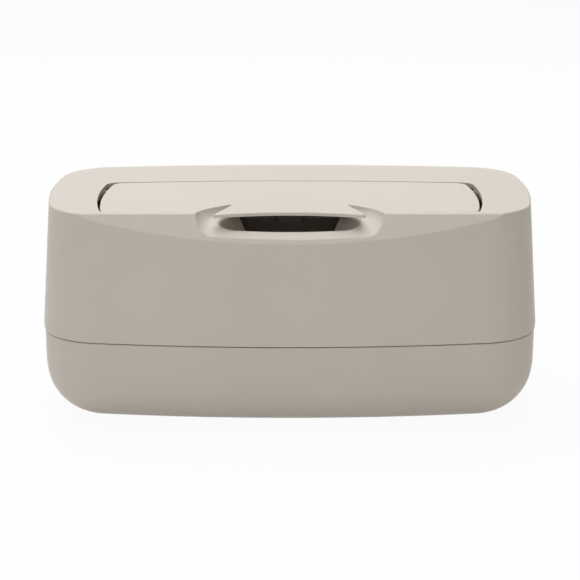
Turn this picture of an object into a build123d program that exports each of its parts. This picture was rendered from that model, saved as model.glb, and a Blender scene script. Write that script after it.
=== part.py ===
"""Lift-lid box for wet wipes, as separate mouldings and fittings.

Millimetres, +Z up. The origin is on the table under the middle of the box, the finger tab of
the lid faces -Y, and +X runs along the longest side. A tray carries a deep casing that lifts
off for refilling, a flush lid closes the casing on two steel pins, and a weight plate keeps
the stack of wipes flat.
"""
import os
from math import cos, radians, sin, tan

from build123d import *

os.makedirs("parts", exist_ok=True)

# ---- heights of the box -------------------------------------------------------------------
foot_proud = 0.6  # how far the feet stand out of the tray's underside
tray_height = 41.0  # underside of the tray to the middle of the seam
casing_height = 59.3  # middle of the seam to the top of the casing
seam_gap = 0.6  # open shadow line between tray and casing

# ---- plan of the casing at the seam, and what it has drawn in by at the top ---------------
seam_half_width = 118.0
seam_half_depth = 64.0
seam_corner_radius = 29.8
seam_front_bow = 6.25
seam_back_bow = 3.9
seam_side_bow = 2.66
side_draft = 4.0
depth_draft = 4.7
top_corner_radius = 26.0
top_front_bow = 7.6
top_back_bow = 5.0
top_side_bow = 2.16

casing_wall = 2.2
casing_roof = 2.2
top_edge_radius = 0.9

# ---- facet along the front of the casing --------------------------------------------------
crease_setback = 10.5  # middle of the front edge at the top, back to the straight crease
facet_lean = 43.6  # degrees between the facet and the vertical
crease_radius = 2.2

# ---- tray ---------------------------------------------------------------------------------
tray_step = 0.48  # the tray stands in from the casing at the seam
tray_draft = 0.54  # and draws in by this much down to its underside
tray_wall = 2.6
tray_floor = 2.4
tray_bottom_radius = 25.0
tray_rim_radius = 0.6
tongue_clearance = 0.5  # between the tray's tongue and the inside of the casing
tongue_thickness = 1.6
tongue_height = 6.0
tongue_root = 5.0  # how far the tongue runs down inside the tray's wall

seal_groove_depth = 0.8
seal_groove_height = 1.8
seal_groove_rise = 2.2  # rim to the lower edge of the groove
seal_proud = 0.2

foot_radius = 6.0
foot_recess = 1.0
foot_side_inset = 43.0  # side of the box to the middle of a foot
foot_end_inset = 37.0  # front or back of the box to the middle of a foot
foot_edge_radius = 0.4

# ---- opening for the lid, and the lid -----------------------------------------------------
lid_land = 2.4  # flat rim between the crease and the lid's front edge
opening_front_margin = 27.4  # side of the casing's top to the front of the opening's side
opening_rear_margin = 26.0  # and to the rear of it
opening_side_bow = 3.0
opening_back_margin = 38.2  # back of the casing's top to the middle of the opening's back
opening_back_bow = 4.8
opening_front_corner = 2.6
opening_rear_corner = 6.0
lid_thickness = 1.8
lid_front_gap = 0.3
lid_side_gap = 0.4  # at the front of the side
lid_hinge_gap = 3.4  # at the rear of the side, where the pins cross it
lid_back_gap = 0.7
lid_side_bow = 2.8
lid_edge_radius = 0.5

tab_root_half = 27.0
tab_root_setback = 17.3  # crease to where the tab's sides leave the lid
tab_root_overlap = 6.0  # the tab runs on into the lid's plate
tab_tip_half = 35.2
tab_overhang = 3.6  # tips in front of the crease
tab_hollow = 5.6  # the front edge curves back by this much between the tips
tab_thickness = 1.6
tab_edge_radius = 0.7
tab_tip_radius = 1.2

# ---- finger scoop -------------------------------------------------------------------------
lip_depth = 10.15  # lowest point of the scoop's rim on the facet, below the top
lip_slope = 30.0  # degrees that the scoop's floor rises inwards from there
lip_bow = 0.75
scoop_half_width = 44.4  # as far back as the crease
scoop_end_half = 25.6
scoop_end_setback = 20.8  # crease to the scoop's end under the tab
scoop_taper = 0.55  # share of the narrowing that is straight, the rest grows with the square
scoop_end_depth = 4.8  # top to the floor, once it has levelled out
scoop_cove_radius = 8.6
scoop_wall = 2.0
scoop_stations = 6

pocket_lip = 7.2  # rim of the scoop back to the edge where the pocket drops away
pocket_front_half = 36.0
pocket_front_bow = 1.6
pocket_rear_half = 19.5
pocket_rear_setback = 23.8  # crease to the pocket's open back, behind the shelf's edge
pocket_mouth_depth = 4.9  # top to the plane in which the pocket's plan is drawn
pocket_corner_radius = 5.0
pocket_side_lean = 25.0  # degrees that the sides of the pocket draw in downwards
pocket_front_lean = 8.0
pocket_edge_radius = 2.8

# ---- shelf under the front of the lid -----------------------------------------------------
ledge_thickness = 1.6
ledge_skirt = 2.2  # how far the thickened rim reaches past the opening
ledge_setback = 8.0  # crease to where the ledges at the lid's front corners end
shelf_setback = 21.9  # crease to the rear edge of the shelf
shelf_side_inset = 8.0  # side of the lid to the side of the shelf
shelf_corner_radius = 5.0

# ---- hinge --------------------------------------------------------------------------------
hinge_reach = 12.4  # back of the lid to the axis
hinge_drop = 3.0  # top to the axis
pin_radius = 1.0
pin_fit = 0.02  # radial, pin in the lid's ear
pin_running = 0.05  # radial, pin in the casing's boss
pin_grip = 4.0  # length of the pin in the boss
pin_end_room = 0.4
pin_chamfer = 0.2
ear_thickness = 5.0
ear_radius = 2.9
ear_inset = 0.5  # ear to the edge of the lid
ear_web = 4.0  # foot of the ear on the liner's plate
boss_skin = 0.8  # past the blind end of the bore
boss_half_depth = 3.4
boss_drop = 6.4  # top to the underside of the boss

# ---- deck ---------------------------------------------------------------------------------
deck_top_drop = 16.4  # top of the casing to the top of the deck
deck_thickness = 2.0
deck_clearance = 0.4
deck_skirt = 5.0
deck_skirt_thickness = 1.6
collar_side_inset = 14.6  # side of the lid to the collar
collar_front_room = 2.7  # shelf to the collar
collar_back_room = 5.5  # collar to the hinge's axis
collar_corner_radius = 10.0
collar_wall = 2.0
collar_drop = 6.9  # top of the casing to the top of the collar
throat_edge_radius = 0.9
deck_rib_thickness = 1.4
deck_rib_pitch = 32.0
deck_rib_count = 4

screw_boss_radius = 3.6
screw_radius = 1.3
screw_fit = 0.05
screw_hole_clearance = 0.3
screw_grip = 10.0
screw_tip_room = 1.0
screw_head_radius = 2.8
screw_head_height = 1.9
screw_socket_radius = 1.1
screw_rounding_share = 0.42  # of the head's height
screw_socket_share = 0.68
rear_screw_inset = (22.0, 23.3)  # from the side and the back of the casing's top
front_screw_inset = (17.0, 25.3)  # from the side and the front of it
middle_screw_spread = 34.0
middle_screw_inset = 17.3

keeper_half_width = 8.0
keeper_reach = 1.6
keeper_height = 2.2
keeper_drop = 8.6
stop_half_width = 3.0
stop_spread = 20.0
stop_gap = 0.15  # left between the open lid and the stops
lid_opening = 100.0  # degrees
stop_height = 5.0

# ---- lid liner, seal and catch ------------------------------------------------------------
liner_plate = 1.6
liner_clearance = 1.0  # to the shelf
liner_side_inset = 5.0  # side of the lid to the side of the liner
liner_back_margin = 5.4  # back of the lid to the back of the liner
liner_corner_radius = 4.0
liner_edge_inset = 2.0  # the liner keeps this far inside the lid's edge
carrier_wall = 1.4
carrier_drop = 5.4
seal_rest_gap = 0.3
liner_rib_thickness = 1.2
liner_rib_height = 1.6
liner_rib_margin = 11.6  # outermost rib to the side of the collar
liner_rib_count = 6
liner_rib_inset = 3.5  # ribs end this far inside the seal
catch_half_width = 6.0
catch_thickness = 1.6
catch_clearance = 0.15
catch_drop = 9.3
catch_base_height = 1.4
catch_base_half_width = 8.5
catch_base_front = 1.0  # the base stands out of the blade by this much in front
catch_base_back = 0.8  # and behind
catch_corner_radius = 0.6
catch_mount_margin = 3.0  # plate of the liner round the catch's base

# ---- weight plate -------------------------------------------------------------------------
plate_side_room = 23.0  # seam's side to the side of the plate
plate_end_room = 18.0  # seam's front or back to the edge of the plate
plate_corner_radius = 22.0
plate_height = 9.0
plate_skin = 1.8
plate_edge_radius = 1.5
nub_height = 3.0
nub_radius = 4.4
nub_edge_radius = 0.8
nub_side_inset = 17.0  # side of the plate to the middle of a nub
nub_end_inset = 16.0
slot_end_inset = 40.0  # side of the plate to the end of the slot
slot_half_width = 8.0
slot_wall = 2.0
slot_edge_radius = 0.8
ballast_height = 4.6
ballast_clearance = 0.5
ballast_corner_radius = 3.0
plate_post_radius = 3.0
plate_screw_radius = 1.1
plate_screw_length = 6.5
plate_screw_head_radius = 2.2
plate_screw_head_height = 1.6
plate_screw_sink = 0.2  # depth of the head's seat in the plate's lower skin
plate_screw_clearance = 0.3

# ---- ribs that seat the casing on the tray ------------------------------------------------
seat_rib_thickness = 2.0
seat_rib_reach = 3.4
seat_rib_height = 8.0
seat_rib_side_inset = 58.0  # side of the box to the outer ribs of the long walls

REACH = 400.0  # longer than anything here, for cutting tools
ABOVE = 5.0  # how far cutting tools run on above the top
BITE = 1.0  # how far tools and ribs run on into what they cut or join
HAIR = 0.01  # for finding edges by their place

# ---- places that follow from these --------------------------------------------------------
underside_z = foot_proud
seam_z = underside_z + tray_height
top_z = seam_z + casing_height
tray_rim_z = seam_z - seam_gap / 2
casing_foot_z = seam_z + seam_gap / 2
tongue_top_z = tray_rim_z + tongue_height
seal_low_z = tray_rim_z + seal_groove_rise
seal_high_z = seal_low_z + seal_groove_height
ledge_z = top_z - lid_thickness
shelf_z = ledge_z - ledge_thickness
liner_z = ledge_z - liner_plate
hinge_z = top_z - hinge_drop
deck_top_z = top_z - deck_top_drop
deck_under_z = deck_top_z - deck_thickness
deck_foot_z = deck_under_z - deck_skirt
collar_top_z = top_z - collar_drop

top_half_width = seam_half_width - side_draft
top_half_depth = seam_half_depth - depth_draft
foot_x = seam_half_width - foot_side_inset
foot_y = seam_half_depth - foot_end_inset

crease_y = crease_setback - top_half_depth
lip_y = crease_y - lip_depth * tan(radians(facet_lean))
shelf_back_y = crease_y + shelf_setback
ledge_back_y = crease_y + ledge_setback
scoop_end_y = crease_y + scoop_end_setback
pocket_front_y = lip_y + pocket_lip
pocket_rear_y = crease_y + pocket_rear_setback
tab_root_y = crease_y + tab_root_setback
tab_tip_y = crease_y - tab_overhang

opening_front_y = crease_y + lid_land
opening_back_y = top_half_depth - opening_back_margin
opening_front_half = top_half_width - opening_front_margin
opening_rear_half = top_half_width - opening_rear_margin
lid_front_y = opening_front_y + lid_front_gap
lid_back_y = opening_back_y - lid_back_gap
lid_front_half = opening_front_half - lid_side_gap
lid_rear_half = opening_rear_half - lid_hinge_gap
hinge_y = lid_back_y - hinge_reach
shelf_half_width = lid_front_half - shelf_side_inset
liner_half_width = lid_front_half - liner_side_inset

collar_half_width = lid_front_half - collar_side_inset
collar_front_y = shelf_back_y + collar_front_room
collar_back_y = hinge_y - collar_back_room
liner_rib_pitch = 2 * (collar_half_width - liner_rib_margin) / (liner_rib_count - 1)
catch_back_y = collar_front_y - keeper_reach - catch_clearance
catch_front_y = catch_back_y - catch_thickness

rear_screw = (top_half_width - rear_screw_inset[0], top_half_depth - rear_screw_inset[1])
front_screw = (top_half_width - front_screw_inset[0], front_screw_inset[1] - top_half_depth)
middle_screw = (middle_screw_spread, top_half_depth - middle_screw_inset)
screw_places = [(side * x, y) for x, y in (rear_screw, front_screw, middle_screw) for side in (-1, 1)]

plate_half_width = seam_half_width - plate_side_room
plate_half_depth = seam_half_depth - plate_end_room
plate_low_z = underside_z + tray_floor + nub_height
plate_mid_z = plate_low_z + plate_height / 2
plate_top_z = plate_low_z + plate_height
nub_x = plate_half_width - nub_side_inset
nub_y = plate_half_depth - nub_end_inset
nub_places = [(x, y) for x in (-nub_x, nub_x) for y in (-nub_y, nub_y)]
slot_half_length = plate_half_width - slot_end_inset
slot_y = (collar_front_y + collar_back_y) / 2  # under the middle of the throat


def level(z):
    """Horizontal plane at a height."""
    return Plane.XY.offset(z)


def between(low, high, share):
    """The value a share of the way from low to high."""
    return low + (high - low) * share


def row(pitch, count):
    """Places of a row of things about the middle."""
    return [pitch * (place - (count - 1) / 2) for place in range(count)]


def bowed_outline(half_width, half_depth, corner_radius, front_bow, back_bow, side_bow):
    """Rectangle whose four sides bow outwards, with round corners tangent to them.

    Arcs are drawn through the centres of the corner circles and grown by the corner radius.
    """
    x = half_width - side_bow - corner_radius
    front = half_depth - front_bow - corner_radius
    back = half_depth - back_bow - corner_radius
    middle = (back - front) / 2
    core = (
        ThreePointArc((-x, -front), (0, -front - front_bow), (x, -front))
        + ThreePointArc((x, -front), (x + side_bow, middle), (x, back))
        + ThreePointArc((x, back), (0, back + back_bow), (-x, back))
        + ThreePointArc((-x, back), (-x - side_bow, middle), (-x, -front))
    )
    return offset(make_face(core), amount=corner_radius, kind=Kind.ARC)


def casing_outline(z, inset=0.0):
    """Plan of the casing at a height, drawn in by inset."""
    share = (z - seam_z) / casing_height
    return level(z) * bowed_outline(
        between(seam_half_width, top_half_width, share) - inset,
        between(seam_half_depth, top_half_depth, share) - inset,
        between(seam_corner_radius, top_corner_radius, share) - inset,
        between(seam_front_bow, top_front_bow, share),
        between(seam_back_bow, top_back_bow, share),
        between(seam_side_bow, top_side_bow, share),
    )


def casing_block(low, high, inset=0.0):
    """Solid of the casing's form between two heights."""
    return loft([casing_outline(low, inset), casing_outline(high, inset)], ruled=True)


def facet_tool(depth=0.0):
    """Everything in front of the facet, moved inwards by depth."""
    lean = radians(facet_lean)
    outward = Vector(0, -cos(lean), sin(lean))
    foot = Vector(0, crease_y, top_z) - outward * depth
    plane = Plane(origin=foot, x_dir=(1, 0, 0), z_dir=outward)
    return plane * Pos(0, 0, REACH / 2) * Box(REACH, REACH, REACH)


def slab(sketch, low, high):
    """Sketch on the floor plane extruded between two heights."""
    return extrude(level(low) * sketch, amount=high - low)


def ring(sketch_outer, sketch_inner, low, high):
    """Wall between two outlines."""
    return slab(sketch_outer, low, high) - slab(sketch_inner, low, high)


def rounded_plan(left, right, front, back, radius):
    """Rounded rectangle between four sides."""
    plan = RectangleRounded(right - left, back - front, radius)
    return Pos((left + right) / 2, (front + back) / 2) * plan


def across(front, back):
    """Strip of the plan between two depths, as wide as anything here."""
    return Pos(0, (front + back) / 2) * Rectangle(REACH, back - front)


def edges_at(solid, height):
    """Edges of a solid that lie in a horizontal plane."""
    return solid.edges().filter_by_position(Axis.Z, height - HAIR, height + HAIR)


# ---- shared outlines ----------------------------------------------------------------------
def cover_outline(front_half, rear_half, front, back, side_bow):
    """Plan with a straight front edge, bowed sides and a bowed back."""
    shoulder = back - opening_back_bow
    middle = (front + shoulder) / 2
    side = (front_half + rear_half) / 2 + side_bow
    outline = (
        Line((-front_half, front), (front_half, front))
        + ThreePointArc((front_half, front), (side, middle), (rear_half, shoulder))
        + ThreePointArc((rear_half, shoulder), (0, back), (-rear_half, shoulder))
        + ThreePointArc((-rear_half, shoulder), (-side, middle), (-front_half, front))
    )
    face = make_face(outline)
    face = fillet(face.vertices().sort_by(Axis.Y)[:2], opening_front_corner)
    return fillet(face.vertices().sort_by(Axis.Y)[-2:], opening_rear_corner)


def opening_outline(grow=0.0):
    """Opening in the top of the casing that the lid closes, grown outwards by grow."""
    return cover_outline(
        opening_front_half + grow,
        opening_rear_half + grow,
        opening_front_y - grow,
        opening_back_y + grow,
        opening_side_bow,
    )


def lid_outline(inset=0.0):
    """Plan of the lid, drawn in by inset."""
    return cover_outline(
        lid_front_half - inset, lid_rear_half - inset, lid_front_y + inset, lid_back_y - inset, lid_side_bow
    )


def side_at(front_half, rear_half, front, back, side_bow):
    """Half width of the opening or the lid at the hinge's axis, on its bowed side."""
    share = (hinge_y - front) / (back - opening_back_bow - front)
    return between(front_half, rear_half, share) + side_bow * (1 - (2 * share - 1) ** 2)


boss_face_x = side_at(
    opening_front_half, opening_rear_half, opening_front_y, opening_back_y, opening_side_bow
)
ear_face_x = side_at(lid_front_half, lid_rear_half, lid_front_y, lid_back_y, lid_side_bow) - ear_inset


def well_outline():
    """Opening right through the casing, behind the shelf and the front corners' ledges."""
    shelf = rounded_plan(-shelf_half_width, shelf_half_width, crease_y, shelf_back_y, shelf_corner_radius)
    return opening_outline() - across(-REACH, ledge_back_y) - shelf


def collar_outline(inset=0.0):
    """Outside of the throat's collar, drawn in by inset."""
    return rounded_plan(
        -collar_half_width + inset,
        collar_half_width - inset,
        collar_front_y + inset,
        collar_back_y - inset,
        collar_corner_radius - inset,
    )


# ---- finger scoop -------------------------------------------------------------------------
def scoop_floor(y):
    """Height of the scoop's floor: it starts at the lip's slope and levels out."""
    start = tan(radians(lip_slope))
    run = 2 * (lip_depth - scoop_end_depth) / start
    along = min(y - lip_y, run)
    return top_z - lip_depth + start * along - start * along**2 / (2 * run)


def scoop_half(y):
    """Half width of the scoop: full as far back as the crease, then narrowing ever faster."""
    share = max(0.0, (y - crease_y) / (scoop_end_y - crease_y))
    return between(scoop_half_width, scoop_end_half, between(share**2, share, scoop_taper))


def scoop_section(y, grow=0.0):
    """Upright U with coved corners, grown outwards by grow."""
    half = scoop_half(y) + grow
    low = scoop_floor(y) - grow
    shoulder = low + lip_bow
    high = top_z + scoop_cove_radius + ABOVE
    base = ThreePointArc((-half, shoulder), (0, low), (half, shoulder))
    walls = Polyline((half, shoulder), (half, high), (-half, high), (-half, shoulder))
    face = make_face(base + walls)
    face = fillet(face.vertices().sort_by(Axis.Y)[:2], scoop_cove_radius + grow)
    return Plane(origin=(0, y, 0), x_dir=(1, 0, 0), z_dir=(0, -1, 0)) * face


def scoop_form(grow=0.0):
    """Channel that runs in from the rim on the facet to its end under the tab."""
    first = lip_y - scoop_cove_radius - ABOVE
    step = (scoop_end_y - first) / (scoop_stations - 1)
    return loft([scoop_section(first + step * place, grow) for place in range(scoop_stations)])


def pocket_outline(z, grow=0.0):
    """Plan of the pocket behind the lip at a height: it draws in downwards."""
    depth = top_z - pocket_mouth_depth - z
    draw = depth * tan(radians(pocket_side_lean))
    front_half = pocket_front_half - draw + grow
    rear_half = pocket_rear_half - draw + grow
    front_y = pocket_front_y + depth * tan(radians(pocket_front_lean)) - grow
    rear_y = pocket_rear_y + grow
    side_y = front_y + pocket_front_bow
    front = ThreePointArc((-front_half, side_y), (0, front_y), (front_half, side_y))
    rest = Polyline((front_half, side_y), (rear_half, rear_y), (-rear_half, rear_y), (-front_half, side_y))
    face = make_face(front + rest)
    return level(z) * fillet(face.vertices(), pocket_corner_radius)


def pocket(low, grow=0.0):
    """Drafted pocket from a height up past the top."""
    return loft([pocket_outline(low, grow), pocket_outline(top_z + BITE, grow)], ruled=True)


def scoop_cut():
    """All that the finger scoop takes out of the casing, with the rolled edge of its pocket."""
    cut = scoop_form() + pocket(deck_under_z)
    rim = [edge for edge in cut.edges() if on_pocket_rim(edge.center())]
    return fillet(rim, pocket_edge_radius)


def on_pocket_rim(point):
    """Whether a point is on the edge between the scoop's floor and its pocket."""
    inside = abs(point.X) < pocket_front_half and pocket_front_y - BITE < point.Y < scoop_end_y - HAIR
    return inside and top_z - lip_depth < point.Z < top_z - scoop_end_depth / 2


def scoop_body():
    """Wall of the scoop inside the casing."""
    front = slab(across(-REACH, tab_root_y), deck_top_z + deck_clearance, top_z)
    return (scoop_form(scoop_wall) + pocket(deck_top_z + deck_clearance, scoop_wall)) & front


# ---- upper casing -------------------------------------------------------------------------
def casing_outside():
    """Outer form of the casing with its facet and its soft edges."""
    block = casing_block(casing_foot_z, top_z) - facet_tool()
    crease = [edge for edge in edges_at(block, top_z) if edge.center().Y < crease_y + HAIR]
    block = fillet(crease, crease_radius)
    return fillet(edges_at(block, top_z), top_edge_radius)


def casing():
    """Upper casing with its facet, finger scoop, rebated opening and bosses."""
    outside = casing_outside()
    roof_z = top_z - casing_roof
    shell = outside - (casing_block(casing_foot_z - BITE, roof_z, casing_wall) - facet_tool(casing_wall))

    ledge_plan = opening_outline(ledge_skirt) & across(-REACH, shelf_back_y)
    extras = slab(ledge_plan, shelf_z, top_z) + scoop_body()
    for side in (-1, 1):
        extras += hinge_boss(side)
    for place in screw_places:
        extras += Pos(*place, 0) * slab(Circle(screw_boss_radius), deck_top_z, top_z)
    extras += seat_ribs()
    shell += extras & outside

    shell -= slab(opening_outline(), ledge_z, top_z + ABOVE)
    shell -= slab(well_outline(), deck_top_z, top_z)
    shell -= scoop_cut()
    hole_top = deck_under_z + screw_grip + screw_tip_room
    for place in screw_places:
        shell -= Pos(*place, 0) * slab(Circle(screw_radius + screw_fit), deck_top_z, hole_top)
    bore = Cylinder(pin_radius + pin_running, 2 * (boss_face_x + pin_grip + pin_end_room))
    shell -= Pos(0, hinge_y, hinge_z) * Rot(0, 90, 0) * bore
    return shell


def hinge_boss(side):
    """Block beside the opening that holds the outer end of a hinge pin."""
    reach = pin_grip + pin_end_room + boss_skin
    plan = Pos(side * (boss_face_x + reach / 2), hinge_y) * Rectangle(reach, 2 * boss_half_depth)
    return slab(plan, top_z - boss_drop, top_z)


def seat_ribs():
    """Upright ribs inside the casing whose ends stand on the tray's tongue."""
    wall_x = seam_half_width - casing_wall
    wall_y = seam_half_depth - casing_wall
    rib_x = seam_half_width - seat_rib_side_inset
    length = 2 * (seat_rib_reach + BITE)
    plan = Sketch()
    for side in (-1, 1):
        for x in (-rib_x, 0, rib_x):
            plan += Pos(x, side * (wall_y - BITE)) * Rectangle(seat_rib_thickness, length)
        plan += Pos(side * (wall_x - BITE), 0) * Rectangle(length, seat_rib_thickness)
    return slab(plan, tongue_top_z, tongue_top_z + seat_rib_height)


# ---- tray ---------------------------------------------------------------------------------
def tray_outline(z, inset=0.0):
    """Plan of the tray at a height, drawn in by inset."""
    share = (seam_z - z) / tray_height
    back_in = tray_step + tray_draft * share + inset
    return level(z) * bowed_outline(
        seam_half_width - back_in,
        seam_half_depth - back_in,
        seam_corner_radius - back_in,
        seam_front_bow,
        seam_back_bow,
        seam_side_bow,
    )


def tray_block(low, high, inset, radius):
    """Solid of the tray's form with its deep rounded bottom edge."""
    block = loft([tray_outline(low, inset), tray_outline(high, inset)], ruled=True)
    return fillet(edges_at(block, low), radius)


def tongue_ring(low, high, inner, outer=0.0):
    """Ring that follows the inside of the casing, between two insets from the tongue's face."""
    face = casing_wall + tongue_clearance
    return casing_block(low, high, face + outer) - casing_block(low - BITE, high + BITE, face + inner)


def tray():
    """Lower casing with its tongue and the recesses of the feet."""
    outer = tray_block(underside_z, tray_rim_z, 0.0, tray_bottom_radius)
    outer = fillet(edges_at(outer, tray_rim_z), tray_rim_radius)
    inner = tray_block(underside_z + tray_floor, tray_rim_z + BITE, tray_wall, tray_bottom_radius - tray_wall)
    body = (outer - inner) + tongue_ring(tray_rim_z - tongue_root, tongue_top_z, tongue_thickness)
    body -= tongue_ring(seal_low_z, seal_high_z, seal_groove_depth, -BITE)
    for x in (-foot_x, foot_x):
        for y in (-foot_y, foot_y):
            body -= Pos(x, y, 0) * slab(Circle(foot_radius), 0, underside_z + foot_recess)
    return body


def tray_seal():
    """Silicone ring in the tongue's groove."""
    return tongue_ring(seal_low_z, seal_high_z, seal_groove_depth, -seal_proud)


def foot(x, y):
    """Round silicone foot pressed into its recess."""
    disc = slab(Circle(foot_radius), 0, underside_z + foot_recess)
    return Pos(x, y, 0) * fillet(edges_at(disc, 0), foot_edge_radius)


# ---- lid ----------------------------------------------------------------------------------
def tab():
    """Finger tab: flares forwards, with a hollow front edge and soft upper edges."""
    root = tab_root_y + tab_root_overlap
    front = ThreePointArc((-tab_tip_half, tab_tip_y), (0, tab_tip_y + tab_hollow), (tab_tip_half, tab_tip_y))
    rest = Polyline(
        (tab_tip_half, tab_tip_y),
        (tab_root_half, tab_root_y),
        (tab_root_half, root),
        (-tab_root_half, root),
        (-tab_root_half, tab_root_y),
        (-tab_tip_half, tab_tip_y),
    )
    face = make_face(front + rest)
    face = fillet(face.vertices().sort_by(Axis.Y)[:2], tab_tip_radius)
    plate = slab(face, top_z - tab_thickness, top_z)
    soft = [edge for edge in edges_at(plate, top_z) if edge.center().Y < tab_root_y - BITE]
    return fillet(soft, tab_edge_radius)


def lid_top():
    """Flush outer plate of the lid with its finger tab."""
    plate = slab(lid_outline(), ledge_z, top_z)
    plate = fillet(edges_at(plate, top_z), lid_edge_radius)
    return plate - scoop_form() + tab()


def liner_outline():
    """Plan of the liner inside the ledge."""
    front = shelf_back_y + liner_clearance
    back = lid_back_y - liner_back_margin
    plan = rounded_plan(-liner_half_width, liner_half_width, front, back, liner_corner_radius)
    return plan & lid_outline(liner_edge_inset)


def lid_liner():
    """Inner half of the lid: plate, seal carrier, ribs and hinge ears."""
    body = slab(liner_outline(), liner_z, ledge_z)
    mount_half = catch_base_half_width + catch_mount_margin
    mount = rounded_plan(
        -mount_half, mount_half, catch_front_y - catch_mount_margin, collar_front_y + collar_wall, collar_wall
    )
    body += slab(mount, liner_z, ledge_z)
    carrier_z = top_z - carrier_drop
    body += ring(collar_outline(-carrier_wall), collar_outline(), carrier_z, liner_z)
    inner_edge = collar_wall + carrier_wall
    body += ring(collar_outline(collar_wall), collar_outline(inner_edge), carrier_z, liner_z)
    rib_plan = collar_outline(liner_rib_inset)
    for x in row(liner_rib_pitch, liner_rib_count):
        rib = Pos(x, 0) * Rectangle(liner_rib_thickness, REACH)
        body += slab(rib & rib_plan, liner_z - liner_rib_height, liner_z)
    for side in (-1, 1):
        body += hinge_ear(side)
    for side in (-1, 1):
        bore = Cylinder(pin_radius + pin_fit, ear_thickness + 2 * BITE)
        body -= Pos(side * (ear_face_x - ear_thickness / 2), hinge_y, hinge_z) * Rot(0, 90, 0) * bore
    return body - catch_base()


def hinge_ear(side):
    """Rounded ear of the liner round the inner end of a hinge pin."""
    middle = side * (ear_face_x - ear_thickness / 2)
    eye = Pos(middle, hinge_y, hinge_z) * Rot(0, 90, 0) * Cylinder(ear_radius, ear_thickness)
    eye += slab(Pos(middle, hinge_y) * Rectangle(ear_thickness, 2 * ear_radius), hinge_z, ledge_z)
    web_inner = liner_half_width - ear_web
    web = Rectangle(ear_face_x - web_inner, 2 * ear_radius)
    eye += slab(Pos(side * (web_inner + ear_face_x) / 2, hinge_y) * web, liner_z, ledge_z)
    return eye & slab(across(-REACH, REACH), hinge_z - 2 * ear_radius, ledge_z)


def lid_seal():
    """Silicone ring of the lid that closes on the collar."""
    return ring(collar_outline(), collar_outline(collar_wall), collar_top_z + seal_rest_gap, liner_z)


def catch_base():
    """Base of the catch, which snaps into a recess of the liner."""
    plan = rounded_plan(
        -catch_base_half_width,
        catch_base_half_width,
        catch_front_y - catch_base_front,
        catch_back_y + catch_base_back,
        catch_corner_radius,
    )
    return slab(plan, liner_z, liner_z + catch_base_height)


def lid_catch():
    """Tongue of the catch hanging from its base under the finger tab."""
    blade = rounded_plan(
        -catch_half_width, catch_half_width, catch_front_y, catch_back_y, catch_corner_radius
    )
    return catch_base() + slab(blade, top_z - catch_drop, liner_z)


def hinge_pin(side):
    """Steel pin from the lid's ear into the casing's boss."""
    inner = ear_face_x - ear_thickness
    length = boss_face_x + pin_grip - inner
    pin = Cylinder(pin_radius, length)
    pin = chamfer(pin.edges(), pin_chamfer)
    return Pos(side * (inner + length / 2), hinge_y, hinge_z) * Rot(0, 90, 0) * pin


# ---- deck ---------------------------------------------------------------------------------
def stop_y():
    """Face that the lid's rear edge meets when the lid is open."""
    past_upright = radians(lid_opening - 90)
    flap = (lid_back_y - hinge_y) * sin(past_upright)
    return hinge_y - flap + (hinge_drop - lid_thickness) * cos(past_upright) - stop_gap


def deck():
    """Deck under the lid: plate, throat with its collar, keeper, stops and ribs."""
    rim = casing_wall + deck_clearance
    plate = casing_block(deck_foot_z, deck_top_z, rim)
    hollow = casing_block(deck_foot_z - BITE, deck_under_z, rim + deck_skirt_thickness)
    body = plate - hollow
    body += slab(collar_outline(), deck_foot_z, collar_top_z)
    for x in row(deck_rib_pitch, deck_rib_count):
        rib = Pos(x, 0) * Rectangle(deck_rib_thickness, REACH)
        body += slab(rib, deck_foot_z, deck_under_z) & plate
    body -= slab(collar_outline(collar_wall), deck_foot_z - BITE, collar_top_z + BITE)
    body = fillet(edges_at(body, collar_top_z), throat_edge_radius)
    keeper = Pos(0, collar_front_y) * Rectangle(2 * keeper_half_width, 2 * keeper_reach)
    keeper_top = top_z - keeper_drop
    body += slab(keeper & across(-REACH, collar_front_y + BITE), keeper_top - keeper_height, keeper_top)
    for x in (-stop_spread, stop_spread):
        stop = Pos(x, 0) * Rectangle(2 * stop_half_width, REACH)
        body += slab(stop & across(collar_back_y - BITE, stop_y()), deck_top_z, deck_top_z + stop_height)
    for place in screw_places:
        hole = Circle(screw_radius + screw_hole_clearance)
        body -= Pos(*place, 0) * slab(hole, deck_foot_z, deck_top_z)
    return body


def screw(seat_z, head_radius, head_height, shank_radius, length):
    """Pan-head screw driven from below, with a hexagon socket and its head under seat_z."""
    head_z = seat_z - head_height
    head = slab(Circle(head_radius), head_z, seat_z)
    head = fillet(edges_at(head, head_z), screw_rounding_share * head_height)
    socket = slab(RegularPolygon(screw_socket_radius, 6), head_z, head_z + screw_socket_share * head_height)
    return head + slab(Circle(shank_radius), seat_z, seat_z + length) - socket


def deck_screws():
    """Screws that hold the deck to the casing's bosses."""
    one = screw(deck_under_z, screw_head_radius, screw_head_height, screw_radius, screw_grip)
    return Compound(children=[Pos(*place, 0) * one for place in screw_places])


# ---- weight plate -------------------------------------------------------------------------
def plate_outline(inset=0.0):
    """Plan of the weight plate."""
    return RectangleRounded(
        2 * (plate_half_width - inset), 2 * (plate_half_depth - inset), plate_corner_radius - inset
    )


def slot_outline(grow=0.0):
    """Dispensing slot through the weight plate."""
    slot = SlotCenterToCenter(2 * (slot_half_length - slot_half_width), 2 * (slot_half_width + grow))
    return Pos(0, slot_y) * slot


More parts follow.
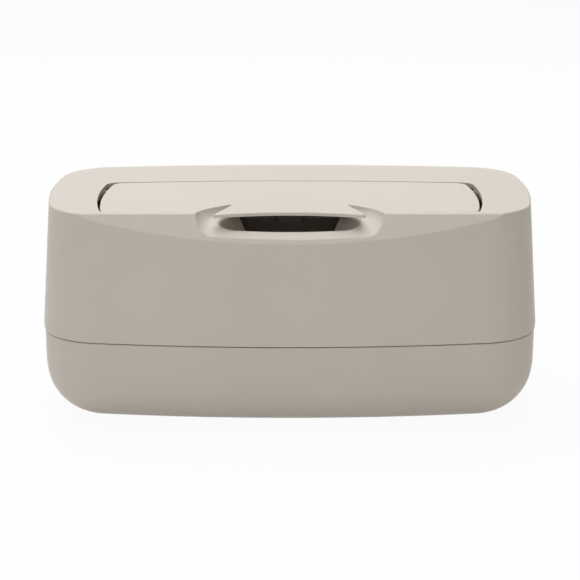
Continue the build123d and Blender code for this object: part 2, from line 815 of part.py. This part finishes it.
def half_plate(low, high, skin_z):
    """One half of the weight plate, with its skin on the side of skin_z and its posts."""
    body = slab(plate_outline(), low, high)
    body = fillet(edges_at(body, skin_z), plate_edge_radius)
    inner_low = low + plate_skin if skin_z == low else low
    inner_high = high - plate_skin if skin_z == high else high
    inside = slab(plate_outline(plate_skin), inner_low, inner_high)
    inside -= slab(slot_outline(slot_wall), inner_low, inner_high)
    for place in nub_places:
        inside -= Pos(*place, 0) * slab(Circle(plate_post_radius), inner_low, inner_high)
    body = body - inside - slab(slot_outline(), low, high)
    slot_edges = [
        edge
        for edge in edges_at(body, skin_z)
        if abs(edge.center().Y - slot_y) <= slot_half_width + HAIR
        and abs(edge.center().X) <= slot_half_length
    ]
    return fillet(slot_edges, slot_edge_radius)


plate_screw_z = plate_low_z + plate_screw_sink


def plate_base():
    """Lower half of the weight plate with its nubs, which hide the screws' heads."""
    body = half_plate(plate_low_z, plate_mid_z, plate_low_z)
    nub = slab(Circle(nub_radius), underside_z + tray_floor, plate_low_z)
    nub = fillet(edges_at(nub, underside_z + tray_floor), nub_edge_radius)
    for place in nub_places:
        body += Pos(*place, 0) * nub
    head_room = Circle(plate_screw_head_radius + plate_screw_clearance)
    shank_room = Circle(plate_screw_radius + plate_screw_clearance)
    for place in nub_places:
        body -= Pos(*place, 0) * slab(head_room, underside_z + tray_floor, plate_screw_z)
        body -= Pos(*place, 0) * slab(shank_room, plate_screw_z, plate_mid_z)
    return body


def plate_cover():
    """Upper half of the weight plate, with blind holes for the screws."""
    body = half_plate(plate_mid_z, plate_top_z, plate_top_z)
    hole_top = plate_screw_z + plate_screw_length + plate_screw_clearance
    for place in nub_places:
        body -= Pos(*place, 0) * slab(Circle(plate_screw_radius + screw_fit), plate_mid_z, hole_top)
    return body


def plate_screws():
    """Screws that close the weight plate, one in each nub."""
    one = screw(
        plate_screw_z,
        plate_screw_head_radius,
        plate_screw_head_height,
        plate_screw_radius,
        plate_screw_length,
    )
    return Compound(children=[Pos(*place, 0) * one for place in nub_places])


def ballast(front, back):
    """Steel bar lying in the weight plate between its posts."""
    low = plate_low_z + plate_skin
    half = nub_x - plate_post_radius - ballast_clearance
    plan = rounded_plan(
        -half, half, front + ballast_clearance, back - ballast_clearance, ballast_corner_radius
    )
    return slab(plan, low, low + ballast_height)


slot_front = slot_y - slot_half_width - slot_wall
slot_back = slot_y + slot_half_width + slot_wall
plate_inside = plate_half_depth - plate_skin

pieces = {
    "base_tray": tray(),
    "tray_seal": tray_seal(),
    "foot_front_left": foot(-foot_x, -foot_y),
    "foot_front_right": foot(foot_x, -foot_y),
    "foot_rear_left": foot(-foot_x, foot_y),
    "foot_rear_right": foot(foot_x, foot_y),
    "upper_shell": casing(),
    "inner_deck": deck(),
    "deck_screws": deck_screws(),
    "lid_top": lid_top(),
    "lid_liner": lid_liner(),
    "lid_seal": lid_seal(),
    "lid_catch": lid_catch(),
    "hinge_pin_left": hinge_pin(-1),
    "hinge_pin_right": hinge_pin(1),
    "plate_cover": plate_cover(),
    "plate_base": plate_base(),
    "plate_screws": plate_screws(),
    "ballast_front": ballast(-plate_inside, slot_front),
    "ballast_rear": ballast(slot_back, plate_inside),
}

for name, piece in pieces.items():
    export_step(piece, f"parts/{name}.step")
    print(name, "volume", round(piece.volume, 1))
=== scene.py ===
# %% [markdown]
# # A lift-lid box for wet wipes
#
# The box stands on a counter. A rounded tray carries a deep casing whose front slopes back
# to a flush lid, and a finger tab on the lid hangs over a scooped hollow. Every moulding comes
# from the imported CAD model; this script gives each one the finish of the real object.
# Everything is in metres, +Z is up, and the tab faces -Y.

# %% Load the frame
import math

import bpy
import numpy as np
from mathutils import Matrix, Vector

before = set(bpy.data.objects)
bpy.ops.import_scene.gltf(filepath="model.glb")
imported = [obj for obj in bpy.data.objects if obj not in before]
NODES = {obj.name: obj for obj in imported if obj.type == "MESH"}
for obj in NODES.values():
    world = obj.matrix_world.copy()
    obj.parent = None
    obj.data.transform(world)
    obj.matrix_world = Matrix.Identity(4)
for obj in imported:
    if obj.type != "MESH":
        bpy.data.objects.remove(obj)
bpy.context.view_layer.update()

# %% [markdown]
# ## The camera
#
# A product picture like this is taken with a long lens from about a metre away, a little
# above the lid, so that the top shows as a thin band. Three numbers describe that: the
# distance, the elevation and the height of the point looked at.

# %% Camera
CAMERA_DISTANCE = 1.0
CAMERA_ELEVATION = math.radians(15.26)
CAMERA_TARGET = Vector((0.0001, 0.0, 0.0514))
SENSOR_WIDTH = 36.0  # mm, as the lens is
LENS = 128.3
CLIPPING = (0.05, 50.0)


def make_camera():
    """A camera on an arc in the YZ plane, aimed at the target."""
    data = bpy.data.cameras.new("product_camera")
    data.sensor_width = SENSOR_WIDTH
    data.lens = LENS
    data.clip_start, data.clip_end = CLIPPING
    camera = bpy.data.objects.new("product_camera", data)
    bpy.context.scene.collection.objects.link(camera)
    back = Vector((0.0, -math.cos(CAMERA_ELEVATION), math.sin(CAMERA_ELEVATION)))
    camera.location = CAMERA_TARGET + back * CAMERA_DISTANCE
    camera.rotation_mode = "QUATERNION"
    camera.rotation_quaternion = (-back).to_track_quat("-Z", "Y")
    bpy.context.scene.camera = camera
    return camera


camera = make_camera()
print("camera at", [round(v, 3) for v in camera.location])

# %% [markdown]
# ## Small helpers for shaders
#
# A material is a graph of nodes, and most of its lines would only create a node, set a
# socket and draw a link. Two helpers do that, so that the cells below show the idea of each
# finish. A value that is a socket is linked, and a plain number or colour is set.

# %% Shader helpers
def put(tree, socket, value):
    """Link a socket to a node's input, or set the input to a plain value."""
    if isinstance(value, bpy.types.NodeSocket):
        tree.links.new(value, socket)
    else:
        socket.default_value = value


def add(tree, kind, out=0, settings=(), **inputs):
    """A node with its settings and inputs, and the output that is asked for."""
    node = tree.nodes.new(kind)
    for key, value in settings:
        setattr(node, key, value)
    for key, value in inputs.items():
        index = int(key[1:]) if key[1:].isdigit() else key.replace("_", " ")
        put(tree, node.inputs[index], value)
    return node.outputs[out]


def maths(tree, operation, first, second=0.0, third=0.0):
    """One Math node."""
    chosen = (("operation", operation),)
    return add(tree, "ShaderNodeMath", settings=chosen, i0=first, i1=second, i2=third)


def new_tree(owner):
    """An empty node tree of a material or a world."""
    owner.use_nodes = True
    owner.node_tree.nodes.clear()
    return owner.node_tree


print("helpers ready")

# %% [markdown]
# ## The studio
#
# The counter is a wide white sheet. What the camera sees of it directly is almost pure
# white, so the box stands free on the page, and a weak part of the real shading is kept, so
# that its shadow still grounds it. Light Path tells a camera ray from a ray that bounces.

# %% Floor and world
FLOOR_SIZE = 12.0
FLOOR_WHITE = 0.96
FLOOR_KEEPS_SHADOW = 0.06
WORLD_LIGHT = 0.09
WHITE = (1.0, 1.0, 1.0, 1.0)


def camera_like(tree):
    """1 on rays from the camera, mirrors or glass, 0 on rays that carry light."""
    path = tree.nodes.new("ShaderNodeLightPath").outputs
    seen = maths(tree, "MAXIMUM", path["Is Camera Ray"], path["Is Glossy Ray"])
    return maths(tree, "MAXIMUM", seen, path["Is Transmission Ray"])


def make_floor():
    """One square face under the box: corners at plus and minus half the size, at height 0."""
    half = FLOOR_SIZE / 2
    corners = np.array([(-half, -half, 0), (half, -half, 0), (half, half, 0), (-half, half, 0)])
    mesh = bpy.data.meshes.new("counter")
    mesh.from_pydata(corners.tolist(), [], [(0, 1, 2, 3)])
    floor = bpy.data.objects.new("counter", mesh)
    bpy.context.scene.collection.objects.link(floor)
    material = bpy.data.materials.new("white_sheet")
    tree = new_tree(material)
    paper = add(tree, "ShaderNodeBsdfDiffuse", Color=(FLOOR_WHITE, FLOOR_WHITE, FLOOR_WHITE, 1))
    glow = add(tree, "ShaderNodeEmission", Color=WHITE, Strength=1.0)
    share = maths(tree, "MULTIPLY", camera_like(tree), 1.0 - FLOOR_KEEPS_SHADOW)
    mixed = add(tree, "ShaderNodeMixShader", i0=share, i1=paper, i2=glow)
    add(tree, "ShaderNodeOutputMaterial", out=slice(0), Surface=mixed)
    mesh.materials.append(material)


def make_world():
    """White where the camera looks, and a weak grey light everywhere else."""
    world = bpy.data.worlds.new("studio")
    bpy.context.scene.world = world
    tree = new_tree(world)
    strength = add(
        tree, "ShaderNodeMapRange", Value=camera_like(tree), To_Min=WORLD_LIGHT, To_Max=1.0
    )
    back = add(tree, "ShaderNodeBackground", Color=WHITE, Strength=strength)
    add(tree, "ShaderNodeOutputWorld", out=slice(0), Surface=back)


make_floor()
make_world()
print("floor of", FLOOR_SIZE, "m and world made")

# %% [markdown]
# ## The lamps
#
# Two big soft lamps hang over the box and behind it, so the top is the brightest face. One
# on the left makes that side a little lighter than the right. Three weak ones fill the
# front: the high ones leave the finger hollow dark under the tab, and the low one lifts the
# round bottom edge.

# %% Lamps
# name, place, size across and down, power in watts
LAMPS = (
    ("overhead", (0.0, 0.15, 1.40), (1.2, 1.0), 6.1),
    ("behind", (-0.10, 0.80, 1.20), (1.4, 0.8), 10.1),
    ("left", (-0.90, 0.20, 1.15), (0.9, 0.9), 3.7),
    ("front_high", (0.0, -1.40, 1.00), (1.4, 0.8), 3.4),
    ("front_left", (-0.95, -1.15, 0.90), (0.9, 0.9), 1.7),
    ("front_low", (0.0, -1.60, 0.45), (1.6, 0.7), 3.6),
)


def make_lamp(name, place, size, power):
    """A rectangular soft lamp aimed at the middle of the box."""
    data = bpy.data.lights.new(name, "AREA")
    data.shape = "RECTANGLE"
    data.size, data.size_y = size
    data.energy = power
    lamp = bpy.data.objects.new(name, data)
    bpy.context.scene.collection.objects.link(lamp)
    lamp.location = place
    lamp.rotation_mode = "QUATERNION"
    lamp.rotation_quaternion = (CAMERA_TARGET - Vector(place)).to_track_quat("-Z", "Y")
    return lamp


lamps = [make_lamp(*lamp) for lamp in LAMPS]
print(len(lamps), "lamps")

# %% [markdown]
# ## Grain of moulded plastic
#
# The steel mould is spark-eroded, and its fine pits come out on the plastic as a satin
# texture that you can feel but hardly see. The granulate also never mixes perfectly, so the
# colour drifts a little over a hand's width. One node group gives both to every moulding:
# a fine noise as height, a middle one that changes the gloss, and a wide one for the colour.

# %% Group: moulded grain
def new_group(name, inputs, outputs):
    """An empty shader group with named float sockets; inputs come with their first values."""
    group = bpy.data.node_groups.new(name, "ShaderNodeTree")
    for label, value in inputs.items():
        socket = group.interface.new_socket(
            name=label, in_out="INPUT", socket_type="NodeSocketFloat"
        )
        socket.default_value = value
    for label in outputs:
        group.interface.new_socket(name=label, in_out="OUTPUT", socket_type="NodeSocketFloat")
    given = group.nodes.new("NodeGroupInput").outputs
    return group, given, group.nodes.new("NodeGroupOutput").inputs


def own_place(tree):
    """The coordinates of the piece itself, which move with it."""
    return tree.nodes.new("ShaderNodeTexCoord").outputs["Object"]


def noise(tree, scale, detail=2.0, rough=0.5):
    """Noise from 0 to 1 on the piece's own coordinates."""
    settings = {"Scale": scale, "Detail": detail, "Roughness": rough}
    return add(tree, "ShaderNodeTexNoise", Vector=own_place(tree), **settings)


MIDDLE_GRAIN = 0.16  # of the fine grain's scale
MIDDLE_HEIGHT = 0.35  # of the fine grain's height


def make_grain():
    """Fine height, a change of gloss about 0, and a wide drift of colour about 0."""
    group, given, wanted = new_group(
        "moulded_grain",
        {"Grain per metre": 3200.0, "Drift per metre": 14.0},
        ("Height", "Gloss", "Drift"),
    )
    fine = noise(group, given["Grain per metre"], 3.0, 0.6)
    wider = maths(group, "MULTIPLY", given["Grain per metre"], MIDDLE_GRAIN)
    middle = noise(group, wider, 3.0, 0.55)
    wide = noise(group, given["Drift per metre"], 3.0, 0.5)
    put(group, wanted["Height"], maths(group, "MULTIPLY_ADD", middle, MIDDLE_HEIGHT, fine))
    put(group, wanted["Gloss"], maths(group, "SUBTRACT", middle, 0.5))
    put(group, wanted["Drift"], maths(group, "SUBTRACT", wide, 0.5))
    return group


GRAIN = make_grain()
print("group", GRAIN.name)

# %% [markdown]
# ## Wear on edges
#
# Hands and cloths polish a plastic box first where it turns: the crease, the lid's rim, the
# tab. The Bevel node gives the normal that a rounded edge would have, and where that differs
# from the real normal there is an edge. A noise breaks the line up, because wear is patchy.

# %% Group: edge wear
BEVEL_SAMPLES = 6
PATCH_CONTRAST, PATCH_FLOOR = 1.2, 0.1


def make_wear():
    """Mask of the edges: how far a rounded normal turns away from the true one, in patches."""
    group, given, wanted = new_group(
        "edge_wear", {"Radius": 0.0012, "Gain": 5.0, "Patches per metre": 90.0}, ("Edge",)
    )
    few = (("samples", BEVEL_SAMPLES),)
    rounded = add(group, "ShaderNodeBevel", settings=few, Radius=given["Radius"])
    true = group.nodes.new("ShaderNodeNewGeometry").outputs["Normal"]
    dot = (("operation", "DOT_PRODUCT"),)
    alike = add(group, "ShaderNodeVectorMath", out="Value", settings=dot, i0=rounded, i1=true)
    turned = maths(group, "MULTIPLY", maths(group, "SUBTRACT", 1.0, alike), given["Gain"])
    patches = noise(group, given["Patches per metre"], 4.0, 0.6)
    worn_here = maths(group, "MULTIPLY_ADD", patches, PATCH_CONTRAST, PATCH_FLOOR)
    broken = maths(group, "MULTIPLY", turned, worn_here)
    put(group, wanted["Edge"], maths(group, "MINIMUM", broken, 1.0))
    return group


WEAR = make_wear()
print("group", WEAR.name)

# %% [markdown]
# ## Drawn and rolled steel
#
# Wire and bar are pulled or rolled in one direction, so their scratches run along the
# length. A noise that is squeezed across the part and stretched along it draws such lines.

# %% Group: steel lines
LINE_STRETCH = (0.02, 1.0, 1.0)  # the noise is fifty times as long along X as across


def make_lines():
    """Fine lines along X as height and as a change of gloss about 0."""
    group, given, wanted = new_group(
        "steel_lines", {"Lines per metre": 5000.0}, ("Height", "Gloss")
    )
    squeezed = add(group, "ShaderNodeMapping", Vector=own_place(group), Scale=LINE_STRETCH)
    settings = {"Scale": given["Lines per metre"], "Detail": 3.0, "Roughness": 0.6}
    lines = add(group, "ShaderNodeTexNoise", Vector=squeezed, **settings)
    put(group, wanted["Height"], lines)
    put(group, wanted["Gloss"], maths(group, "SUBTRACT", lines, 0.5))
    return group


LINES = make_lines()
print("group", LINES.name)

# %% [markdown]
# ## Placing the groups
#
# A group sits in a material as one node with its own values. Its masks then mix two colours,
# for worn edges or for a drift, and a last helper joins colour, gloss and normal in one
# Principled shader, which stays in the material itself so that the export can read it.

# %% Material helpers
def place_group(tree, group, **values):
    """A group in a material with its own values; returns its outputs."""
    node = tree.nodes.new("ShaderNodeGroup")
    node.node_tree = group
    for label, value in values.items():
        node.inputs[label.replace("_", " ")].default_value = value
    return node.outputs


def tinted(tree, colour, lighter, share):
    """A colour mixed with a second one by a share that changes over the surface."""
    node = tree.nodes.new("ShaderNodeMix")
    node.data_type, node.blend_type, node.clamp_factor = "RGBA", "MIX", True
    put(tree, node.inputs["Factor"], share)
    put(tree, node.inputs["A"], colour)
    put(tree, node.inputs["B"], lighter)
    return node.outputs["Result"]


def scaled(colour, factor):
    """A colour made lighter or darker."""
    return tuple(min(1.0, channel * factor) for channel in colour[:3]) + (1.0,)


def shaded(material, base, gloss, normal, **constants):
    """The material's one Principled shader, from its three changing inputs and its constants."""
    tree = material.node_tree
    shader = tree.nodes.new("ShaderNodeBsdfPrincipled")
    put(tree, shader.inputs["Base Color"], base)
    put(tree, shader.inputs["Roughness"], gloss)
    put(tree, shader.inputs["Normal"], normal)
    for label, value in constants.items():
        shader.inputs[label.replace("_", " ")].default_value = value
    add(tree, "ShaderNodeOutputMaterial", out=slice(0), Surface=shader.outputs[0])
    return material


print("material helpers ready")

# %% [markdown]
# ## Satin plastic
#
# The casing, tray and lid are one warm pale grey, and the lid's is made 1.5 % lighter as
# painted light for its slightly brighter top. The shader is a plain dielectric with a middling
# roughness: the grain bends the highlights, the drift shifts the colour by a hundredth or two,
# and the worn edges turn a touch lighter and smoother.
#
# The front of the deck's collar carries painted shade: a strip of near-black brown stands for
# the deep shade in the finger hollow under the tab. The keeper, into which the lid's catch
# snaps, lies in that strip. A second mesh for the strip would lie exactly on the first, so it
# is a mask on the deck's own coordinates.

# %% Moulded plastics
WORN_LIGHTER = 1.12
WORN_GLOSS = -0.12
GRAIN_GLOSS = 0.16


# The mask of the painted shade: the front of the collar, under the tab.
def painted_shade_mask(tree, half_length, back):
    """1 where |x| is below half_length and y is below `back`, and 0 elsewhere."""
    x, y, _ = add(tree, "ShaderNodeSeparateXYZ", out=slice(3), i0=own_place(tree))
    near = maths(tree, "LESS_THAN", maths(tree, "ABSOLUTE", x), half_length)
    return maths(tree, "MULTIPLY", near, maths(tree, "LESS_THAN", y, back))


def moulded(
    name, colour, rough, grain=3200.0, depth=0.00001, drift=0.05, wear=0.5, shade_strip=None, **constants
):
    """Moulded plastic: grain as bump and gloss, drift and wear in the colour.

    The painted-shade strip is given as its colour, half length and back edge.
    """
    material = bpy.data.materials.new(name)
    tree = new_tree(material)
    surface = place_group(tree, GRAIN, Grain_per_metre=grain)
    worn = maths(tree, "MULTIPLY", place_group(tree, WEAR)["Edge"], wear)
    share = maths(tree, "ADD", surface["Drift"], 0.5)
    base = tinted(tree, scaled(colour, 1.0 - drift), scaled(colour, 1.0 + drift), share)
    base = tinted(tree, base, scaled(colour, WORN_LIGHTER), worn)
    # Painted shade: the dark colour laid over the deck's front in the finger hollow.
    if shade_strip:
        shade_colour, half_length, back = shade_strip
        painted_shade_here = painted_shade_mask(tree, half_length, back)
        base = tinted(tree, base, scaled(shade_colour, 1.0), painted_shade_here)
    gloss = maths(tree, "MULTIPLY_ADD", surface["Gloss"], GRAIN_GLOSS, rough)
    gloss = maths(tree, "MULTIPLY_ADD", worn, WORN_GLOSS, gloss)
    bump = {"Strength": 1.0, "Distance": depth}
    normal = add(tree, "ShaderNodeBump", Height=surface["Height"], **bump)
    return shaded(material, base, gloss, normal, **constants)


CASE_GREY = (0.625, 0.563, 0.490)
casing_plastic = moulded("casing_plastic", CASE_GREY, 0.48)
# Painted light: the lid's grey is 1.5 % lighter than the casing's, for its slightly brighter top.
lid_plastic = moulded("lid_plastic", scaled(CASE_GREY, 1.015), 0.46)
INNER_GREY = scaled(CASE_GREY, 0.88)
inner_plastic = moulded("inner_plastic", INNER_GREY, 0.38, grain=2200.0, depth=0.000006)
# Painted shade: this near-black brown stands for the deep shade in the finger hollow under the
# tab.
PAINTED_SHADE_BROWN = (0.075, 0.052, 0.036)
SHADE_STRIP_HALF_LENGTH = 0.062
SHADE_STRIP_BACK = -0.0236  # 0.6 mm behind the front face of the collar
deck_plastic_painted_shade = moulded(
    "deck_plastic_painted_shade", INNER_GREY, 0.42, grain=2200.0, depth=0.000006,
    shade_strip=(PAINTED_SHADE_BROWN, SHADE_STRIP_HALF_LENGTH, SHADE_STRIP_BACK),
)
# Painted shade: the catch gets the same dark brown, standing for the shade in the finger hollow.
catch_plastic = moulded("catch_plastic", PAINTED_SHADE_BROWN, 0.45, depth=0.000004, wear=0.3)
print("moulded plastics made")

# %% [markdown]
# ## Silicone
#
# The seals and feet are soft silicone: matt, slightly see-through at the rim, with no hard
# scratches. A little subsurface light does that, and the grain is coarser and shallower.

# %% Silicone
silicone = moulded(
    "silicone", (0.70, 0.67, 0.62), 0.55, grain=1500.0, depth=0.00002, wear=0.0,
    Subsurface_Weight=0.25, Subsurface_Scale=0.002,
)
feet_silicone = moulded(
    "feet_silicone", (0.45, 0.43, 0.40), 0.62, grain=1500.0, depth=0.00003, wear=0.2,
    Subsurface_Weight=0.15, Subsurface_Scale=0.002,
)
print("silicones made")

# %% [markdown]
# ## Steel
#
# The hinge pins are drawn wire, painted a dull dark grey as painted shade, so that they sit dark
# in the shaded gap beside the lid and don't glint. The screws are zinc plated, and the ballast
# bars are cut from rolled flat stock with a darker skin that is bright along its edges.

# %% Steels
STEEL_DARK, STEEL_LIGHT = 0.92, 1.06  # of the colour, along the lines
RUBBED_LIGHTER = 1.35
LINE_GLOSS = 0.22
STEEL_EDGE = 0.0004


def steel(name, colour, rough, lines=5000.0, depth=0.000006, wear=0.4):
    """Metal with lines along X, and edges that are brighter where the skin is rubbed off."""
    material = bpy.data.materials.new(name)
    tree = new_tree(material)
    drawn = place_group(tree, LINES, Lines_per_metre=lines)
    worn = maths(tree, "MULTIPLY", place_group(tree, WEAR, Radius=STEEL_EDGE)["Edge"], wear)
    share = maths(tree, "ADD", drawn["Gloss"], 0.5)
    base = tinted(tree, scaled(colour, STEEL_DARK), scaled(colour, STEEL_LIGHT), share)
    base = tinted(tree, base, scaled(colour, RUBBED_LIGHTER), worn)
    gloss = maths(tree, "MULTIPLY_ADD", drawn["Gloss"], LINE_GLOSS, rough)
    bump = {"Strength": 1.0, "Distance": depth}
    normal = add(tree, "ShaderNodeBump", Height=drawn["Height"], **bump)
    return shaded(material, base, gloss, normal, Metallic=1.0)


# Painted shade: the pins' dark grey stands for the shade in the gap beside the lid.
pin_steel = steel("pin_steel", (0.20, 0.195, 0.19), 0.50)
screw_steel = steel("screw_steel", (0.62, 0.62, 0.64), 0.32, lines=2500.0)
ballast_steel = steel("ballast_steel", (0.36, 0.36, 0.37), 0.42, lines=3500.0, wear=0.7)
print("steels made")

# %% [markdown]
# ## Dress the mouldings
#
# Each CAD piece gets the material of its own part: the outside of the box in satin, the
# hidden mouldings smoother, and the fittings in silicone and steel.

# %% Dress the pieces
FINISHES = {
    casing_plastic: ("base_tray", "upper_shell"),
    lid_plastic: ("lid_top",),
    inner_plastic: ("lid_liner", "plate_cover", "plate_base"),
    deck_plastic_painted_shade: ("inner_deck",),
    catch_plastic: ("lid_catch",),
    silicone: ("tray_seal", "lid_seal"),
    feet_silicone: ("foot_front_left", "foot_front_right", "foot_rear_left", "foot_rear_right"),
    pin_steel: ("hinge_pin_left", "hinge_pin_right"),
    screw_steel: ("deck_screws", "plate_screws"),
    ballast_steel: ("ballast_front", "ballast_rear"),
}

dressed = []
for material, names in FINISHES.items():
    for name in names:
        mesh = NODES[name].data
        mesh.materials.clear()
        mesh.materials.append(material)
        dressed.append(name)
print(len(dressed), "pieces dressed, left plain:", sorted(set(NODES) - set(dressed)))

# %% [markdown]
# ## Finish
#
# The Standard view keeps colours as they are written.

# %% Finish
bpy.context.scene.view_settings.view_transform = "Standard"
